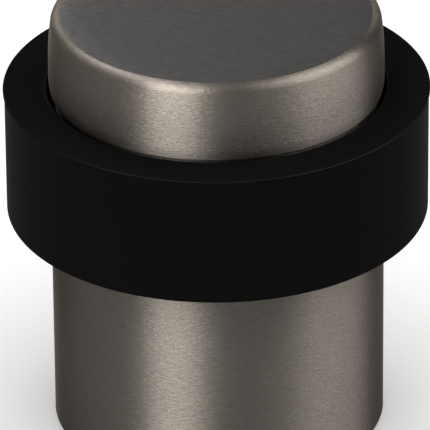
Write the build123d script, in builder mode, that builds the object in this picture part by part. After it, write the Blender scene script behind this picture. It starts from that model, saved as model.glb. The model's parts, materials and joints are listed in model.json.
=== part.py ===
# Round floor door stop: a turned metal post with a black rubber buffer ring seated in a groove.
# Millimetres, +Z up, origin at the centre of the base.

import os
from math import radians, tan

from build123d import *

os.makedirs("parts", exist_ok=True)

# Post, stacked from the floor up
post_diameter = 30.0
base_length = 20.8
cap_length = 7.1
rim_width = 0.6
rim_height = 1.2
base_edge_chamfer = 0.3

# Buffer ring, a band outside the post with a rib inside that seats in the post's groove
band_height = 12.1
band_thickness = 4.0
band_edge_radius = 0.4
bore_lead_in = 0.5
rib_setback = 1.9
groove_depth = 2.0
bore_clearance = 0.1
rib_clearance = 0.05

# Hole in the base, drilled for an M8 thread, that takes the floor fixing
tap_drill_diameter = 6.8
drilled_depth = 18.0
drill_point_angle = 118.0
mouth_chamfer = 0.8
mouth_angle = 90.0

# Heights and radii that follow from the sizes above
band_bottom = base_length
band_top = band_bottom + band_height
post_height = band_top + cap_length
groove_bottom = band_bottom + rib_setback
groove_height = band_height - 2 * rib_setback
rim_bottom = post_height - rim_height
post_radius = post_diameter / 2
face_radius = post_radius - rim_width
groove_radius = post_radius - groove_depth
bore_radius = post_radius + bore_clearance
rib_radius = groove_radius + rib_clearance
rib_height = groove_height - 2 * rib_clearance
drill_radius = tap_drill_diameter / 2
drill_point_height = drill_radius / tan(radians(drill_point_angle / 2))


# Post: one turned piece
with BuildPart() as post:
    # Half section, with the rim's arc leaving the wall at a tangent and cut off flat by the top face
    with BuildSketch(Plane.XZ):
        with BuildLine():
            Polyline((0, post_height), (0, 0), (post_radius, 0), (post_radius, rim_bottom))
            TangentArc((post_radius, rim_bottom), (face_radius, post_height), tangent=(0, 1))
            Line((face_radius, post_height), (0, post_height))
        make_face()
    revolve(axis=Axis.Z)
    chamfer(post.edges().filter_by(GeomType.CIRCLE).sort_by(Axis.Z)[0], length=base_edge_chamfer)

    # Groove for the rib
    with BuildSketch(Plane.XZ):
        with Locations((groove_radius, groove_bottom)):
            Rectangle(groove_depth, groove_height, align=(Align.MIN, Align.MIN))
    revolve(axis=Axis.Z, mode=Mode.SUBTRACT)

    # Tapping hole with a countersunk mouth and the drill's conical point
    with Locations(post.faces().filter_by(GeomType.PLANE).sort_by(Axis.Z)[0]):
        CounterSinkHole(
            radius=drill_radius,
            counter_sink_radius=drill_radius + mouth_chamfer,
            depth=drilled_depth,
            counter_sink_angle=mouth_angle,
        )
    with Locations((0, 0, drilled_depth)):
        Cone(
            bottom_radius=drill_radius,
            top_radius=0,
            height=drill_point_height,
            align=(Align.CENTER, Align.CENTER, Align.MIN),
            mode=Mode.SUBTRACT,
        )

post.part.label = "post"
export_step(post.part, "parts/post.step")


# Buffer ring: one moulded piece
with BuildPart() as buffer_ring:
    # Half section, the band outside and the rib inside
    with BuildSketch(Plane.XZ):
        with Locations((bore_radius, band_bottom)):
            Rectangle(band_thickness, band_height, align=(Align.MIN, Align.MIN))
        with Locations((rib_radius, groove_bottom + rib_clearance)):
            Rectangle(bore_radius - rib_radius, rib_height, align=(Align.MIN, Align.MIN))
    revolve(axis=Axis.Z)

    # Lead-ins at both ends of the bore, and rounded outer edges
    band_ends = buffer_ring.faces().filter_by(GeomType.PLANE).sort_by(Axis.Z)
    end_edges = (band_ends[0].edges() + band_ends[-1].edges()).group_by(SortBy.RADIUS)
    chamfer(end_edges[0], length=bore_lead_in)
    fillet(end_edges[-1], radius=band_edge_radius)

buffer_ring.part.label = "buffer_ring"
export_step(buffer_ring.part, "parts/buffer_ring.step")
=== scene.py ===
"""Dresses a round floor door stop: a satin metal post with a black rubber buffer ring."""

import json
import logging
import math
from dataclasses import dataclass
from enum import Enum
from typing import Any

import bpy
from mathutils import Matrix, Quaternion, Vector


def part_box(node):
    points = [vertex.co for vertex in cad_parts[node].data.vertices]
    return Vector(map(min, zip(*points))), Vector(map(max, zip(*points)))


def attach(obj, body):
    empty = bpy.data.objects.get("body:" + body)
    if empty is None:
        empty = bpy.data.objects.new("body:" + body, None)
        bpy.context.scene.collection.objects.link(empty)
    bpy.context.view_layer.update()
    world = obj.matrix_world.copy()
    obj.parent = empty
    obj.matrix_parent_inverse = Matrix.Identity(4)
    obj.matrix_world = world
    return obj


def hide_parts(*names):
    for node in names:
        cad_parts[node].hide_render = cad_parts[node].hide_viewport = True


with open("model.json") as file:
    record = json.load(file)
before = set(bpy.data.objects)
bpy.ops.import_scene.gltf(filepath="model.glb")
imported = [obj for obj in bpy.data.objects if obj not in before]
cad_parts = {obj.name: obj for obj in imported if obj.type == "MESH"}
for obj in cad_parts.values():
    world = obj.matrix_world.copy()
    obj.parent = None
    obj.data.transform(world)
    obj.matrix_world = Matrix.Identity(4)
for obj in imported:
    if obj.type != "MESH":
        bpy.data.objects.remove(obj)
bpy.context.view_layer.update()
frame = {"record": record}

LOG = logging.getLogger("door_stop")
MM = 0.001
BRUSH_MAP = "brush"
SECOND_FINISH = "second_finish"
# How far the flat top stays below the frame's, so that rounding never takes it out of the CAD box
TOP_MARGIN = 0.002 * MM
# Angles in a half section, counted from straight out
UP_DEG = 90.0
DOWN_DEG = -90.0
CHAMFER_DEG = 45.0
# A Mix node has sockets of several kinds under the same names, so its colour sockets go by number.
MIX_FACTOR = 0
MIX_A = 6
MIX_B = 7
MIX_RESULT = 2

Points = list[tuple[float, float]]
Socket = bpy.types.NodeSocket
Inputs = dict[str | int, Any]


class Brushing(Enum):
    """Which way the abrasive belt ran over a satin metal surface."""

    ROUND = "round the axis"
    STRAIGHT = "straight across"


def reach(node: str) -> float:
    """Gives the radius of a round node that its facets reach on every side.

    Args:
        node: the node's name.

    Returns:
        The radius.
    """
    low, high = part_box(node)
    return min(-low.x, -low.y, high.x, high.y)


def linear(colour: str) -> tuple[float, float, float, float]:
    """Turns an sRGB hex colour into linear light.

    Args:
        colour: six hex digits after a hash sign.

    Returns:
        Linear red, green and blue, and an alpha of 1.
    """
    digits = colour.lstrip("#")
    channels = [int(digits[i : i + 2], 16) / 255 for i in (0, 2, 4)]
    light = [c / 12.92 if c <= 0.04045 else ((c + 0.055) / 1.055) ** 2.4 for c in channels]
    return (light[0], light[1], light[2], 1.0)


def direction(azimuth_deg: float, elevation_deg: float) -> Vector:
    """Gives the unit vector from the object towards a place round it.

    Args:
        azimuth_deg: 0 towards -Y, where the camera stands, and 90 towards +X.
        elevation_deg: above the floor.

    Returns:
        The unit vector.
    """
    azimuth = math.radians(azimuth_deg)
    elevation = math.radians(elevation_deg)
    flat = math.cos(elevation)
    return Vector((math.sin(azimuth) * flat, -math.cos(azimuth) * flat, math.sin(elevation)))


def arc(
    centre: tuple[float, float], radius: float, start_deg: float, end_deg: float, steps: int
) -> Points:
    """Gives the points of an arc in a half section.

    Args:
        centre: the arc's centre, as distance from the axis and height.
        radius: the arc's radius.
        start_deg: the angle of its first point, counted from straight out towards up.
        end_deg: the angle of its last point.
        steps: how many pieces the arc is divided into.

    Returns:
        The points in order, ends included.
    """
    angles = [math.radians(start_deg + (end_deg - start_deg) * i / steps) for i in range(steps + 1)]
    return [(centre[0] + radius * math.cos(a), centre[1] + radius * math.sin(a)) for a in angles]


def add_node(
    tree: bpy.types.NodeTree, kind: str, inputs: Inputs | None = None, **settings: Any
) -> bpy.types.Node:
    """Adds one node to a tree, sets it up and links it.

    Args:
        tree: the tree that takes the node.
        kind: the node's type name.
        inputs: by input name or index, a socket to link from or a plain value.
        settings: properties of the node itself.

    Returns:
        The new node.
    """
    node = tree.nodes.new(kind)
    for name, value in settings.items():
        setattr(node, name, value)
    for key, value in (inputs or {}).items():
        if isinstance(value, Socket):
            tree.links.new(value, node.inputs[key])
        else:
            node.inputs[key].default_value = value
    return node


def new_material(name: str) -> bpy.types.Material:
    """Starts an empty node material.

    Args:
        name: the material's name.

    Returns:
        The material, with no nodes yet.
    """
    material = bpy.data.materials.new(name)
    material.use_nodes = True
    material.node_tree.nodes.clear()
    return material


def new_tree(name: str, sockets: dict[str, str]) -> bpy.types.NodeTree:
    """Starts a Geometry Nodes tree.

    Args:
        name: the tree's name.
        sockets: the type of each named input, after the geometry.

    Returns:
        The tree, with a geometry input and output and the named inputs.
    """
    tree = bpy.data.node_groups.new(name, "GeometryNodeTree")
    tree.interface.new_socket("Geometry", in_out="OUTPUT", socket_type="NodeSocketGeometry")
    tree.interface.new_socket("Geometry", in_out="INPUT", socket_type="NodeSocketGeometry")
    for label, kind in sockets.items():
        tree.interface.new_socket(label, in_out="INPUT", socket_type=kind)
    return tree


def grow(
    name: str, seed: bpy.types.Mesh, tree: bpy.types.NodeTree, values: dict[str, Any]
) -> bpy.types.Object:
    """Makes a piece with a Geometry Nodes tree, as a plain mesh.

    Args:
        name: the piece's name.
        seed: the mesh that the tree starts from.
        tree: the tree.
        values: the value of each of the tree's named inputs.

    Returns:
        The piece, with no modifier left.
    """
    piece = bpy.data.objects.new(name, seed)
    bpy.context.scene.collection.objects.link(piece)
    modifier = piece.modifiers.new(tree.name, "NODES")
    modifier.node_group = tree
    for item in tree.interface.items_tree:
        if item.in_out == "INPUT" and item.name in values:
            modifier[item.identifier] = values[item.name]
    graph = bpy.context.evaluated_depsgraph_get()
    made = bpy.data.meshes.new_from_object(piece.evaluated_get(graph))
    piece.modifiers.remove(modifier)
    # A mesh that a node makes can start with an empty material slot, which no face uses.
    while made.materials[0] is None:
        made.materials.pop(index=0)
    piece.data = made
    bpy.data.meshes.remove(seed)
    made.name = name
    return piece


def shade_by_angle(tree: bpy.types.NodeTree, mesh: Socket, crease: Socket) -> Socket:
    """Shades a mesh smooth, apart from its creases.

    Args:
        tree: the Geometry Nodes tree.
        mesh: the socket that gives the mesh.
        crease: the socket that gives the angle past which an edge stays sharp.

    Returns:
        The socket that gives the shaded mesh.
    """
    smooth = add_node(tree, "GeometryNodeSetShadeSmooth", {"Geometry": mesh, "Shade Smooth": True})
    bend = add_node(tree, "GeometryNodeInputMeshEdgeAngle")
    sharp = add_node(
        tree,
        "FunctionNodeCompare",
        {"A": bend.outputs["Unsigned Angle"], "B": crease},
        operation="GREATER_THAN",
    )
    creased = add_node(
        tree,
        "GeometryNodeSetShadeSmooth",
        {"Geometry": smooth.outputs[0], "Selection": sharp.outputs["Result"], "Shade Smooth": False},
        domain="EDGE",
    )
    return creased.outputs[0]


@dataclass(frozen=True)
class SatinNickel:
    """Dark satin nickel over a turned post, drawn over an abrasive belt.

    The belt leaves fine scratches that run one way, so a lamp's reflection is drawn out across
    them into a soft band, and the surface shows faint streaks along them.
    """

    name: str
    brushing: Brushing
    colour: str = "#504C47"
    streak_colour: str = "#69645E"
    # The scratches keep a grazing reflection from going white.
    edge_colour: str = "#9C9C9C"
    roughness: float = 0.443
    roughness_change: float = 0.04
    anisotropy: float = 0.9
    # Length along the brushing and width across it. A real scratch is about 0.02 mm wide, which is
    # too fine to show, so both kinds are drawn wider and deeper, as coarse as the picture can show.
    hairline_mm: tuple[float, float] = (0.7, 0.085)
    scratch_mm: tuple[float, float] = (0.22, 0.09)
    hairline_depth_mm: float = 0.026
    scratch_slope: float = 0.28
    mark_detail: float = 1.5

    def build(self) -> bpy.types.Material:
        """Makes the material.

        Returns:
            The material, whose hairlines and scratches follow the brushing.
        """
        material = new_material(self.name)
        tree = material.node_tree
        hairlines = self._marks(tree, *self.hairline_mm)
        scratches = self._marks(tree, *self.scratch_mm)
        tone = add_node(
            tree,
            "ShaderNodeMix",
            {MIX_FACTOR: hairlines, MIX_A: linear(self.colour), MIX_B: linear(self.streak_colour)},
            data_type="RGBA",
        )
        polish = add_node(
            tree,
            "ShaderNodeMapRange",
            {
                "Value": scratches,
                "To Min": self.roughness - self.roughness_change,
                "To Max": self.roughness + self.roughness_change,
            },
        )
        across_brush = add_node(tree, "ShaderNodeTangent", direction_type="UV_MAP", uv_map=BRUSH_MAP)
        shader = add_node(
            tree,
            "ShaderNodeBsdfPrincipled",
            {
                "Base Color": tone.outputs[MIX_RESULT],
                "Metallic": 1.0,
                "Roughness": polish.outputs["Result"],
                "Anisotropic": self.anisotropy,
                "Specular Tint": linear(self.edge_colour),
                "Normal": self._facing(tree, hairlines, scratches),
                "Tangent": across_brush.outputs["Tangent"],
            },
        )
        add_node(tree, "ShaderNodeOutputMaterial", {"Surface": shader.outputs["BSDF"]})
        return material

    def _marks(self, tree: bpy.types.NodeTree, length_mm: float, width_mm: float) -> Socket:
        """Draws the belt's marks of one size.

        Args:
            tree: the material's tree.
            length_mm: how long a mark is along the brushing.
            width_mm: how wide it is.

        Returns:
            The socket that gives the marks, from 0 to 1.
        """
        along = 1 / (length_mm * MM)
        across = 1 / (width_mm * MM)
        scale = (along, along, across) if self.brushing is Brushing.ROUND else (along, across, across)
        place = add_node(tree, "ShaderNodeTexCoord").outputs["Object"]
        drawn_out = add_node(tree, "ShaderNodeMapping", {"Vector": place, "Scale": scale})
        marks = add_node(
            tree,
            "ShaderNodeTexNoise",
            {"Vector": drawn_out.outputs["Vector"], "Scale": 1.0, "Detail": self.mark_detail},
        )
        return marks.outputs["Fac"]

    def _facing(self, tree: bpy.types.NodeTree, hairlines: Socket, scratches: Socket) -> Socket:
        """Works out which way the surface faces: hairlines dent it, and scratches lean it across them.

        Args:
            tree: the material's tree.
            hairlines: the socket that gives the hairlines.
            scratches: the socket that gives the scratches.

        Returns:
            The socket that gives the normal.
        """
        relief = add_node(
            tree, "ShaderNodeBump", {"Height": hairlines, "Distance": self.hairline_depth_mm * MM}
        )
        slope = add_node(
            tree,
            "ShaderNodeMapRange",
            {"Value": scratches, "To Min": -self.scratch_slope, "To Max": self.scratch_slope},
        )
        across = "Z" if self.brushing is Brushing.ROUND else "Y"
        lean = add_node(tree, "ShaderNodeCombineXYZ", {across: slope.outputs["Result"]})
        leaning = add_node(
            tree,
            "ShaderNodeVectorMath",
            {0: relief.outputs["Normal"], 1: lean.outputs["Vector"]},
            operation="ADD",
        )
        facing = add_node(
            tree, "ShaderNodeVectorMath", {0: leaning.outputs["Vector"]}, operation="NORMALIZE"
        )
        return facing.outputs["Vector"]


@dataclass(frozen=True)
class MouldedRubber:
    """Black rubber, moulded against a fine blasted wall.

    The blasted wall leaves a matt skin that drinks the light, so the ring reads as nearly black with
    a faint grain. Where hands and doors rub it, as on a crest, the skin is closed up and shines more.
    """

    name: str
    colour: str = "#040404"
    bloom_colour: str = "#060606"
    roughness: float = 0.7
    roughness_change: float = 0.05
    shine: float = 0.01
    # The real grain is too fine to show, so it is drawn as coarse as the picture can show.
    grain_mm: float = 0.18
    grain_depth_mm: float = 0.004
    grain_strength: float = 0.6

    def build(self) -> bpy.types.Material:
        """Makes the material.

        Returns:
            The material, with the mould's fine grain.
        """
        material = new_material(self.name)
        tree = material.node_tree
        place = add_node(tree, "ShaderNodeTexCoord").outputs["Object"]
        grain = add_node(
            tree, "ShaderNodeTexNoise", {"Vector": place, "Scale": 1 / (self.grain_mm * MM)}
        ).outputs["Fac"]
        tone = add_node(
            tree,
            "ShaderNodeMix",
            {MIX_FACTOR: grain, MIX_A: linear(self.colour), MIX_B: linear(self.bloom_colour)},
            data_type="RGBA",
        )
        polish = add_node(
            tree,
            "ShaderNodeMapRange",
            {
                "Value": grain,
                "To Min": self.roughness - self.roughness_change,
                "To Max": self.roughness + self.roughness_change,
            },
        )
        relief = add_node(
            tree,
            "ShaderNodeBump",
            {"Height": grain, "Strength": self.grain_strength, "Distance": self.grain_depth_mm * MM},
        )
        shader = add_node(
            tree,
            "ShaderNodeBsdfPrincipled",
            {
                "Base Color": tone.outputs[MIX_RESULT],
                "Roughness": polish.outputs["Result"],
                "Specular IOR Level": self.shine,
                "Normal": relief.outputs["Normal"],
            },
        )
        add_node(tree, "ShaderNodeOutputMaterial", {"Surface": shader.outputs["BSDF"]})
        return material


@dataclass(frozen=True)
class FloorPaper:
    """Pale matt paper, which shows the object's soft shadow and no reflection."""

    name: str = "pale_floor_paper"
    colour: str = "#EDEDED"

    def build(self) -> bpy.types.Material:
        """Makes the material.

        Returns:
            The material, of one even tone.
        """
        material = new_material(self.name)
        tree = material.node_tree
        paper = add_node(tree, "ShaderNodeBsdfDiffuse", {"Color": linear(self.colour)})
        add_node(tree, "ShaderNodeOutputMaterial", {"Surface": paper.outputs["BSDF"]})
        return material


@dataclass(frozen=True)
class Stretch:
    """A stretch of a half section that has one finish: points as distance from the axis and height."""

    points: Points
    second_finish: bool = False


@dataclass(frozen=True)
class Lathe:
    """Turns a half section about the Z axis, as a lathe does.

    The section's points become the rows of a grid, which is wound round the axis and welded. The brush
    map follows the section, so the belt's marks run round the axis, or lies flat on the second finish.
    """

    segments: int = 360
    weld: float = 0.0005 * MM
    crease_deg: float = 24.0

    def tree(self) -> bpy.types.NodeTree:
        """Builds the tree that turns the points of a half section into a closed skin.

        Returns:
            The tree, whose input geometry is the section's points in the XZ plane.
        """
        tree = new_tree(
            "lathe",
            {
                "Segments": "NodeSocketInt",
                "Weld Distance": "NodeSocketFloat",
                "Crease Angle": "NodeSocketFloat",
                "Finish": "NodeSocketMaterial",
                "Second Finish": "NodeSocketMaterial",
            },
        )
        given = add_node(tree, "NodeGroupInput").outputs
        skin, brush, second = self._wind(tree, given)
        mapped = add_node(
            tree,
            "GeometryNodeStoreNamedAttribute",
            {"Geometry": skin, "Name": BRUSH_MAP, "Value": brush},
            data_type="FLOAT2",
            domain="CORNER",
        )
        marked = add_node(
            tree,
            "GeometryNodeStoreNamedAttribute",
            {"Geometry": mapped.outputs[0], "Name": SECOND_FINISH, "Value": second},
            data_type="BOOLEAN",
            domain="FACE",
        )
        closed = add_node(
            tree,
            "GeometryNodeMergeByDistance",
            {"Geometry": marked.outputs[0], "Distance": given["Weld Distance"]},
        )
        shaded = shade_by_angle(tree, closed.outputs[0], given["Crease Angle"])
        real = add_node(tree, "GeometryNodeRealizeInstances", {0: shaded})
        dressed = add_node(
            tree, "GeometryNodeSetMaterial", {"Geometry": real.outputs[0], "Material": given["Finish"]}
        )
        dressed_twice = add_node(
            tree,
            "GeometryNodeSetMaterial",
            {
                "Geometry": dressed.outputs[0],
                "Selection": self._mark(tree),
                "Material": given["Second Finish"],
            },
        )
        add_node(tree, "NodeGroupOutput", {0: dressed_twice.outputs[0]})
        return tree

    @staticmethod
    def _mark(tree: bpy.types.NodeTree) -> Socket:
        """Reads the mark for the second finish.

        Args:
            tree: the tree that takes the node.

        Returns:
            The socket that gives the mark.
        """
        mark = add_node(
            tree, "GeometryNodeInputNamedAttribute", {"Name": SECOND_FINISH}, data_type="BOOLEAN"
        )
        return mark.outputs[0]

    def _wind(
        self, tree: bpy.types.NodeTree, given: bpy.types.NodeOutputs
    ) -> tuple[Socket, Socket, Socket]:
        """Winds the section round the axis.

        Args:
            tree: the tree that takes the nodes.
            given: the tree's inputs.

        Returns:
            The sockets of the open skin, of its brush map and of its mark for the second finish.
        """
        # The grid's first and last columns meet, so it has one column more than there are segments.
        count = add_node(tree, "GeometryNodeAttributeDomainSize", {"Geometry": given["Geometry"]})
        columns = add_node(
            tree, "FunctionNodeIntegerMath", {0: given["Segments"], 1: 1}, operation="ADD"
        ).outputs[0]
        grid = add_node(
            tree,
            "GeometryNodeMeshGrid",
            {"Vertices X": count.outputs["Point Count"], "Vertices Y": columns},
        )
        # Each row takes one point of the section, and each column turns it further.
        index = add_node(tree, "GeometryNodeInputIndex").outputs[0]
        row = add_node(
            tree, "FunctionNodeIntegerMath", {0: index, 1: columns}, operation="DIVIDE_FLOOR"
        )
        column = add_node(tree, "FunctionNodeIntegerMath", {0: index, 1: columns}, operation="MODULO")
        share = add_node(
            tree, "ShaderNodeMath", {0: column.outputs[0], 1: given["Segments"]}, operation="DIVIDE"
        )
        angle = add_node(
            tree, "ShaderNodeMath", {0: share.outputs[0], 1: math.tau}, operation="MULTIPLY"
        )
        position = add_node(tree, "GeometryNodeInputPosition").outputs[0]
        point = add_node(
            tree,
            "GeometryNodeSampleIndex",
            {"Geometry": given["Geometry"], "Value": position, "Index": row.outputs[0]},
            data_type="FLOAT_VECTOR",
        )
        turned = add_node(
            tree,
            "ShaderNodeVectorRotate",
            {"Vector": point.outputs["Value"], "Angle": angle.outputs[0]},
            rotation_type="Z_AXIS",
        )
        skin = add_node(
            tree,
            "GeometryNodeSetPosition",
            {"Geometry": grid.outputs["Mesh"], "Position": turned.outputs[0]},
        )
        # The faces between two rows take the mark of the first one's point.
        face_row = add_node(
            tree, "FunctionNodeIntegerMath", {0: index, 1: given["Segments"]}, operation="DIVIDE_FLOOR"
        )
        stretch = add_node(
            tree,
            "GeometryNodeFieldOnDomain",
            {"Value": face_row.outputs[0]},
            data_type="INT",
            domain="FACE",
        )
        second = add_node(
            tree,
            "GeometryNodeSampleIndex",
            {"Geometry": given["Geometry"], "Value": self._mark(tree), "Index": stretch.outputs[0]},
            data_type="BOOLEAN",
        ).outputs["Value"]
        # The brush map is the grid's own, or the plan view where the brushing is straight.
        place = add_node(tree, "ShaderNodeSeparateXYZ", {0: position}).outputs
        plan = add_node(tree, "ShaderNodeCombineXYZ", {"X": place["Y"], "Y": place["X"]})
        brush = add_node(
            tree,
            "GeometryNodeSwitch",
            {"Switch": second, "False": grid.outputs["UV Map"], "True": plan.outputs[0]},
            input_type="VECTOR",
        )
        return skin.outputs[0], brush.outputs["Output"], second

    def turn(
        self,
        name: str,
        section: list[Stretch],
        finish: bpy.types.Material,
        second_finish: bpy.types.Material,
    ) -> bpy.types.Object:
        """Turns one piece.

        Args:
            name: the piece's name.
            section: its half section along the skin, each stretch from where the last one ends.
            finish: the material of the skin.
            second_finish: the material of the stretches that say so.

        Returns:
            The piece, as a plain mesh.
        """
        points: Points = [section[0].points[0]]
        marks: list[bool] = []
        for stretch in section:
            steps = [point for point in stretch.points if point != points[-1]]
            points += steps
            marks += [stretch.second_finish] * len(steps)
        seed = bpy.data.meshes.new(name + "_section")
        seed.from_pydata([(radius, 0.0, height) for radius, height in points], [], [])
        # No step starts at the last point, so its mark is never read.
        mark = seed.attributes.new(SECOND_FINISH, "BOOLEAN", "POINT")
        mark.data.foreach_set("value", [*marks, False])
        values = {
            "Segments": self.segments,
            "Weld Distance": self.weld,
            "Crease Angle": math.radians(self.crease_deg),
            "Finish": finish,
            "Second Finish": second_finish,
        }
        piece = grow(name, seed, self.tree(), values)
        piece.data.attributes.remove(piece.data.attributes[SECOND_FINISH])
        return piece


@dataclass
class CutThread:
    """The M8 by 1.25 thread in the base hole: a ridge with flat crests that winds up the wall."""

    minor_radius: float
    start: float
    length: float
    major_radius: float = 4.0 * MM
    pitch: float = 1.25 * MM
    crest_width: float = 0.31 * MM
    root_width: float = 1.1 * MM
    # The ridge's foot goes this far into the wall, so that no gap shows along it.
    foot: float = 0.05 * MM
    steps_per_turn: int = 48
    crease_deg: float = 24.0

    def tree(self) -> bpy.types.NodeTree:
        """Builds the tree that winds the ridge.

        Returns:
            The tree, which needs no input geometry.
        """
        tree = new_tree(
            "thread",
            {
                "Turns": "NodeSocketFloat",
                "Steps": "NodeSocketInt",
                "Length": "NodeSocketFloat",
                "Start": "NodeSocketFloat",
                "Radius": "NodeSocketFloat",
                "Depth": "NodeSocketFloat",
                "Crest Width": "NodeSocketFloat",
                "Root Width": "NodeSocketFloat",
                "Crease Angle": "NodeSocketFloat",
                "Finish": "NodeSocketMaterial",
            },
        )
        given = add_node(tree, "NodeGroupInput").outputs
        helix = add_node(
            tree,
            "GeometryNodeCurveSpiral",
            {
                "Resolution": given["Steps"],
                "Rotations": given["Turns"],
                "Start Radius": given["Radius"],
                "End Radius": given["Radius"],
                "Height": given["Length"],
                "Reverse": True,
            },
        )
        upright = add_node(tree, "GeometryNodeSetCurveNormal", {0: helix.outputs[0]}, mode="Z_UP")
        ridge = add_node(
            tree,
            "GeometryNodeCurvePrimitiveQuadrilateral",
            {
                "Height": given["Depth"],
                "Bottom Width": given["Crest Width"],
                "Top Width": given["Root Width"],
                "Offset": 0.0,
            },
            mode="TRAPEZOID",
        )
        facing = add_node(
            tree,
            "GeometryNodeTransform",
            {"Geometry": ridge.outputs[0], "Rotation": (0.0, 0.0, math.pi / 2)},
        )
        wound = add_node(
            tree,
            "GeometryNodeCurveToMesh",
            {"Curve": upright.outputs[0], "Profile Curve": facing.outputs[0], "Fill Caps": True},
        )
        lift = add_node(tree, "ShaderNodeCombineXYZ", {"Z": given["Start"]})
        placed = add_node(
            tree,
            "GeometryNodeTransform",
            {"Geometry": wound.outputs[0], "Translation": lift.outputs[0]},
        )
        shaded = shade_by_angle(tree, placed.outputs[0], given["Crease Angle"])
        real = add_node(tree, "GeometryNodeRealizeInstances", {0: shaded})
        dressed = add_node(
            tree, "GeometryNodeSetMaterial", {"Geometry": real.outputs[0], "Material": given["Finish"]}
        )
        add_node(tree, "NodeGroupOutput", {0: dressed.outputs[0]})
        return tree

    def build(self, finish: bpy.types.Material) -> bpy.types.Object:
        """Makes the ridge and gives it its finish.

        Args:
            finish: the material.

        Returns:
            The finished piece, riding on the frame.
        """
        outer = self.major_radius + self.foot
        values = {
            "Turns": self.length / self.pitch,
            "Steps": self.steps_per_turn,
            "Length": self.length,
            "Start": self.start,
            "Radius": (outer + self.minor_radius) / 2,
            "Depth": outer - self.minor_radius,
            "Crest Width": self.crest_width,
            "Root Width": self.root_width,
            "Crease Angle": math.radians(self.crease_deg),
            "Finish": finish,
        }
        piece = grow("base_thread", bpy.data.meshes.new("thread_seed"), self.tree(), values)
        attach(piece, "root")
        return piece


@dataclass
class TurnedPost:
    """The turned metal post: flat top, rounded rim, eased foot, neck and groove, and tapped hole."""

    radius: float
    height: float
    ring_top: float
    groove_bottom: float
    groove_top: float
    groove_depth: float
    drill_radius: float
    drilled_depth: float
    rim_width: float = 0.35 * MM
    rim_height: float = 4.6 * MM
    # The belt takes a little more off the edge of the flat top than off its middle.
    crown_width: float = 2.5 * MM
    crown_drop: float = 0.05 * MM
    edge_radius: float = 0.9 * MM
    # The cap's foot is eased just above the ring, and chamfered down to the neck inside it.
    foot_radius: float = 4.0 * MM
    foot_turn_deg: float = 15.0
    foot_chamfer: float = 0.46 * MM
    base_chamfer: float = 0.3 * MM
    mouth_chamfer: float = 0.8 * MM
    drill_point_deg: float = 118.0
    thread_run_out: float = 3.0 * MM
    rim_steps: int = 12
    edge_steps: int = 14
    crown_steps: int = 6
    foot_steps: int = 8

    def rim(self) -> Points:
        """Works out the rim: a large arc up the wall that a small one turns into the flat top.

        Returns:
            The points from the top's edge down to the wall.
        """
        rim_radius = (self.rim_width**2 + self.rim_height**2) / (2 * self.rim_width)
        rim_centre = (self.radius - rim_radius, self.height - self.rim_height)
        edge_height = self.height - self.crown_drop - self.edge_radius
        rise = edge_height - rim_centre[1]
        meeting_deg = math.degrees(math.asin(rise / (rim_radius - self.edge_radius)))
        run = rise / math.tan(math.radians(meeting_deg))
        crown_deg = math.degrees(math.atan(2 * self.crown_drop / self.crown_width))
        edge_centre = (rim_centre[0] + run, edge_height)
        edge = arc(edge_centre, self.edge_radius, UP_DEG - crown_deg, meeting_deg, self.edge_steps)
        return [*edge, *arc(rim_centre, rim_radius, meeting_deg, 0.0, self.rim_steps)[1:]]

    def face(self, edge: tuple[float, float]) -> Points:
        """Works out the flat top, which falls a little towards its edge.

        Args:
            edge: where the rim starts.

        Returns:
            The points from the middle to the edge.
        """
        drop = self.height - edge[1]
        shares = [i / self.crown_steps for i in range(self.crown_steps)]
        crown = [(edge[0] - self.crown_width * (1 - s), self.height - drop * s**2) for s in shares]
        return [(0.0, self.height), *crown, edge]

    def foot(self) -> Points:
        """Works out the cap's eased foot, which ends level with the ring's top, and its chamfer.

        Returns:
            The points from the wall down to the neck.
        """
        turn = self.foot_radius * math.sin(math.radians(self.foot_turn_deg))
        centre = (self.radius - self.foot_radius, self.ring_top + turn)
        eased = arc(centre, self.foot_radius, 0.0, -self.foot_turn_deg, self.foot_steps)
        return [*eased, (eased[-1][0] - self.foot_chamfer, self.ring_top - self.foot_chamfer)]

    def section(self, thread: CutThread) -> list[Stretch]:
        """Works out the half section.

        Args:
            thread: the thread, for which the hole is opened to its root.

        Returns:
            The skin, from the middle of the top, down the wall and up into the hole.
        """
        rim = self.rim()
        foot = self.foot()
        groove = self.radius - self.groove_depth
        mouth = self.drill_radius + self.mouth_chamfer
        root = thread.major_radius
        thread_end = self.drilled_depth - self.thread_run_out
        tip = self.drilled_depth + self.drill_radius / math.tan(math.radians(self.drill_point_deg / 2))
        wall = [
            *rim,
            *foot,
            (foot[-1][0], self.groove_top),
            (groove, self.groove_top),
            (groove, self.groove_bottom),
            (self.radius, self.groove_bottom),
            (self.radius, self.base_chamfer),
            (self.radius - self.base_chamfer, 0.0),
            (mouth, 0.0),
            (root, mouth - root),
            (root, thread_end),
            (self.drill_radius, thread_end),
            (self.drill_radius, self.drilled_depth),
            (0.0, tip),
        ]
        return [Stretch(self.face(rim[0]), second_finish=True), Stretch(wall)]

    def build(self, lathe: Lathe) -> list[bpy.types.Object]:
        """Makes the post and its thread, and gives them their finish.

        Args:
            lathe: what turns the section.

        Returns:
            The finished pieces, riding on the frame.
        """
        wall_finish = SatinNickel("satin_nickel_brushed_round", Brushing.ROUND).build()
        # The flat top's streaks are broader and shallower than the wall's. Its darker, more neutral
        # colour is painted shade: it is the wall's nickel, set darker for how the top is lit.
        face_finish = SatinNickel(
            "satin_nickel_brushed_straight_painted_shade",
            Brushing.STRAIGHT,
            colour="#474645",
            streak_colour="#5B5A59",
            hairline_mm=(0.9, 0.26),
            scratch_mm=(0.4, 0.22),
            scratch_slope=0.14,
        ).build()
        thread_length = self.drilled_depth - self.thread_run_out - 2 * self.mouth_chamfer
        thread = CutThread(self.drill_radius, self.mouth_chamfer, thread_length)
        piece = lathe.turn("turned_post", self.section(thread), wall_finish, face_finish)
        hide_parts("post")
        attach(piece, "root")
        return [piece, thread.build(wall_finish)]


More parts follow.
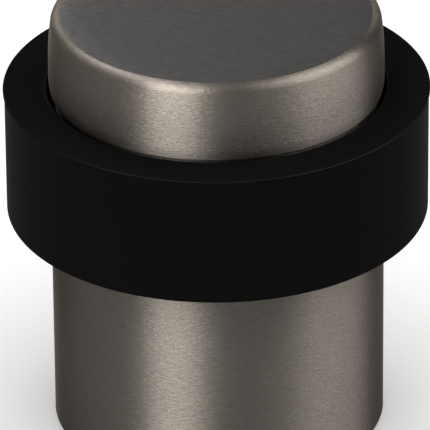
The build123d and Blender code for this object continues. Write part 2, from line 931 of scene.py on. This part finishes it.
@dataclass
class BufferRing:
    """The moulded rubber ring: a thick band with a thin lip, and a rib that seats in the groove."""

    radius: float
    bottom: float
    top: float
    post_radius: float
    groove_depth: float = 2.0 * MM
    # The lower outer edge
    edge_radius: float = 0.4 * MM
    # A thin moulded lip runs round the upper edge, and the wall below it is set in.
    lip_radius: float = 0.15 * MM
    wall_inset: float = 0.13 * MM
    wall_drop: float = 0.5 * MM
    lead_in: float = 0.25 * MM
    crest_radius: float = 0.25 * MM
    rib_setback: float = 1.9 * MM
    bore_clearance: float = 0.05 * MM
    rib_clearance: float = 0.05 * MM
    # The part of the lip that doors and hands rub, and where its round ends and runs in to the wall
    rubbed_deg: tuple[float, float] = (54.0, 46.0)
    lip_end_deg: float = -50.0
    edge_steps: int = 4
    crest_steps: int = 6

    def section(self) -> list[Stretch]:
        """Works out the half section.

        Returns:
            The skin, closed, from the crest of the upper lead-in outwards and back inside.
        """
        bore = self.post_radius + self.bore_clearance
        rib = self.post_radius - self.groove_depth + self.rib_clearance
        wall = self.radius - self.wall_inset
        rib_top = self.top - self.rib_setback - self.rib_clearance
        rib_bottom = self.bottom + self.rib_setback + self.rib_clearance
        crest = bore + self.lead_in + self.crest_radius * math.tan(math.radians(CHAMFER_DEG / 2))
        crest_top = (crest, self.top - self.crest_radius)
        crest_bottom = (crest, self.bottom + self.crest_radius)
        lip_centre = (self.radius - self.lip_radius, self.top - self.lip_radius)
        foot_centre = (wall - self.edge_radius, self.bottom + self.edge_radius)
        high, low = self.rubbed_deg
        upper_crest = arc(crest_top, self.crest_radius, UP_DEG + CHAMFER_DEG, UP_DEG, self.crest_steps)
        lower_crest = arc(
            crest_bottom, self.crest_radius, DOWN_DEG, DOWN_DEG - CHAMFER_DEG, self.crest_steps
        )
        shoulder = arc(lip_centre, self.lip_radius, UP_DEG, high, self.edge_steps)
        rubbed = arc(lip_centre, self.lip_radius, high, low, self.edge_steps)
        side = arc(lip_centre, self.lip_radius, low, self.lip_end_deg, 2 * self.edge_steps)
        foot = arc(foot_centre, self.edge_radius, 0.0, DOWN_DEG, 2 * self.edge_steps)
        inside = [
            (bore, self.bottom + self.lead_in),
            (bore, rib_bottom),
            (rib, rib_bottom),
            (rib, rib_top),
            (bore, rib_top),
            (bore, self.top - self.lead_in),
        ]
        return [
            Stretch(upper_crest, second_finish=True),
            Stretch(shoulder),
            Stretch(rubbed, second_finish=True),
            Stretch([*side, (wall, self.top - self.wall_drop), *foot, lower_crest[0]]),
            Stretch(lower_crest, second_finish=True),
            Stretch([*inside, upper_crest[0]]),
        ]

    def build(self, lathe: Lathe) -> list[bpy.types.Object]:
        """Makes the piece and gives it its finish.

        Args:
            lathe: what turns the section.

        Returns:
            The finished piece, riding on the frame.
        """
        finish = MouldedRubber("black_rubber_moulded").build()
        rubbed_finish = MouldedRubber("black_rubber_rubbed", roughness=0.4, shine=0.1).build()
        piece = lathe.turn("rubber_ring", self.section(), finish, rubbed_finish)
        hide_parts("buffer_ring")
        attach(piece, "root")
        return [piece]


@dataclass(frozen=True)
class SoftBox:
    """A flat studio lamp that faces the object, with its sizes and distance in metres."""

    name: str
    azimuth_deg: float
    elevation_deg: float
    width: float
    height: float
    radiance: float
    distance: float = 0.7
    colour: str = "#FFFDFB"

    def build(self, aim: Vector, lit: bpy.types.Collection) -> bpy.types.Object:
        """Hangs the lamp.

        Args:
            aim: the point that it faces.
            lit: what it lights.

        Returns:
            The lamp.
        """
        lamp = bpy.data.lights.new(self.name, "AREA")
        lamp.shape = "RECTANGLE"
        lamp.size = self.width
        lamp.size_y = self.height
        lamp.energy = self.radiance * math.pi * self.width * self.height
        lamp.color = linear(self.colour)[:3]
        holder = bpy.data.objects.new(self.name, lamp)
        holder.location = aim + direction(self.azimuth_deg, self.elevation_deg) * self.distance
        holder.rotation_mode = "QUATERNION"
        holder.rotation_quaternion = (aim - holder.location).to_track_quat("-Z", "Y")
        holder.light_linking.receiver_collection = lit
        bpy.context.scene.collection.objects.link(holder)
        return holder


@dataclass(frozen=True)
class Studio:
    """The pale floor, the dim room and the soft lamps."""

    floor_side: float = 6.0
    room_colour: str = "#595959"
    # Each lamp has its azimuth, elevation, width, height and radiance.
    floor_lamp: SoftBox = SoftBox(
        "ceiling_soft_box", 0.0, 90.0, 5.0, 5.0, 2.05, distance=2.2, colour="#FFFFFF"
    )
    object_lamps: tuple[SoftBox, ...] = (
        SoftBox("left_front_soft_box", -29.5, 29.0, 0.40, 0.76, 13.0),
        SoftBox("left_high_soft_box", -97.0, 61.0, 1.1, 0.22, 6.4),
        SoftBox("back_left_soft_box", -156.0, 46.0, 0.24, 0.24, 7.2),
        SoftBox("right_soft_box", 84.0, 36.0, 0.736, 0.88, 6.45),
        SoftBox("top_fill", 30.0, 72.0, 0.36, 0.36, 2.2),
        SoftBox("back_fill", -172.0, 50.0, 0.7, 0.6, 0.2),
        SoftBox("left_fill", -95.0, 16.0, 0.6, 0.3, 0.22),
    )
    # Low lamps behind the cap draw its rim, and don't light the rubber.
    rim_lamps: tuple[SoftBox, ...] = (
        SoftBox("back_low_left_soft_box", -161.0, 22.0, 0.2, 0.24, 9.0),
        SoftBox("back_low_right_soft_box", 158.0, 22.0, 0.2, 0.24, 4.0),
    )

    def build(self, aim: Vector, metal: list[bpy.types.Object], rubber: list[bpy.types.Object]) -> None:
        """Sets the stage.

        Args:
            aim: the middle of the object.
            metal: the object's metal pieces.
            rubber: its rubber pieces.
        """
        floor = self._floor()
        self._room()
        self.floor_lamp.build(aim, self._lit("floor_light", [floor]))
        object_light = self._lit("object_light", [*metal, *rubber])
        rim_light = self._lit("rim_light", metal)
        for lamp in self.object_lamps:
            lamp.build(aim, object_light)
        for lamp in self.rim_lamps:
            lamp.build(aim, rim_light)

    @staticmethod
    def _lit(name: str, pieces: list[bpy.types.Object]) -> bpy.types.Collection:
        """Groups what a set of lamps lights.

        Args:
            name: the group's name.
            pieces: the objects in it.

        Returns:
            The group.
        """
        lit = bpy.data.collections.new(name)
        for piece in pieces:
            lit.objects.link(piece)
        return lit

    def _floor(self) -> bpy.types.Object:
        """Lays the floor.

        Returns:
            The floor, which belongs to the stage.
        """
        half = self.floor_side / 2
        corners = [(-half, -half, 0.0), (half, -half, 0.0), (half, half, 0.0), (-half, half, 0.0)]
        mesh = bpy.data.meshes.new("floor")
        mesh.from_pydata(corners, [], [(0, 1, 2, 3)])
        mesh.materials.append(FloorPaper().build())
        floor = bpy.data.objects.new("floor", mesh)
        bpy.context.scene.collection.objects.link(floor)
        return floor

    def _room(self) -> None:
        """Gives the room round the stage its dim grey."""
        world = bpy.data.worlds.new("dim_room")
        world.use_nodes = True
        tree = world.node_tree
        tree.nodes.clear()
        room = add_node(tree, "ShaderNodeBackground", {"Color": linear(self.room_colour)})
        add_node(tree, "ShaderNodeOutputWorld", {"Surface": room.outputs[0]})
        bpy.context.scene.world = world


@dataclass(frozen=True)
class PhotoCamera:
    """The camera at the photograph's viewing angle."""

    elevation_deg: float = 28.0
    distance: float = 585 * MM
    # It stands round the pivot and looks at the aim, because the photograph isn't quite centred.
    pivot: tuple[float, float, float] = (0.0, 0.0, 18.75 * MM)
    aim: tuple[float, float, float] = (-0.24 * MM, 0.0, 19.6 * MM)
    roll_rad: float = -0.009
    # The focal length in pixels of the photograph, whose side is image_px
    focal_px: float = 6480.0
    image_px: int = 430
    sensor_mm: float = 36.0

    def build(self) -> bpy.types.Object:
        """Sets the camera up.

        Returns:
            The camera, which is the scene's.
        """
        data = bpy.data.cameras.new("camera")
        data.sensor_width = self.sensor_mm
        data.lens = self.focal_px / self.image_px * self.sensor_mm
        camera = bpy.data.objects.new("camera", data)
        camera.location = Vector(self.pivot) + direction(0.0, self.elevation_deg) * self.distance
        camera.rotation_mode = "QUATERNION"
        look = (Vector(self.aim) - camera.location).to_track_quat("-Z", "Y")
        camera.rotation_quaternion = look @ Quaternion((0.0, 0.0, 1.0), self.roll_rad)
        bpy.context.scene.collection.objects.link(camera)
        bpy.context.scene.camera = camera
        return camera


def main() -> None:
    """Builds the door stop and its studio, and reports each piece."""
    logging.basicConfig(level=logging.INFO, format="%(name)s: %(message)s")
    bpy.context.scene.view_settings.view_transform = "Standard"
    post_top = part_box("post")[1].z
    ring_low, ring_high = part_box("buffer_ring")
    hole = next(mount for mount in frame["record"]["mounts"] if mount["name"] == "floor_fixing")
    lathe = Lathe()
    ring = BufferRing(reach("buffer_ring"), ring_low.z, ring_high.z, reach("post"))
    post = TurnedPost(
        radius=ring.post_radius,
        height=post_top - TOP_MARGIN,
        ring_top=ring.top,
        groove_bottom=ring.bottom + ring.rib_setback,
        groove_top=ring.top - ring.rib_setback,
        groove_depth=ring.groove_depth,
        drill_radius=hole["dims"]["r_mm"] * MM,
        drilled_depth=TurnedPost.mouth_chamfer + hole["dims"]["length_mm"] * MM,
    )
    metal = post.build(lathe)
    rubber = ring.build(lathe)
    for piece in [*metal, *rubber]:
        LOG.info("%s: %d faces", piece.name, len(piece.data.polygons))
    PhotoCamera().build()
    Studio().build(Vector((0.0, 0.0, post_top / 2)), metal, rubber)


if __name__ == "__main__":
    main()
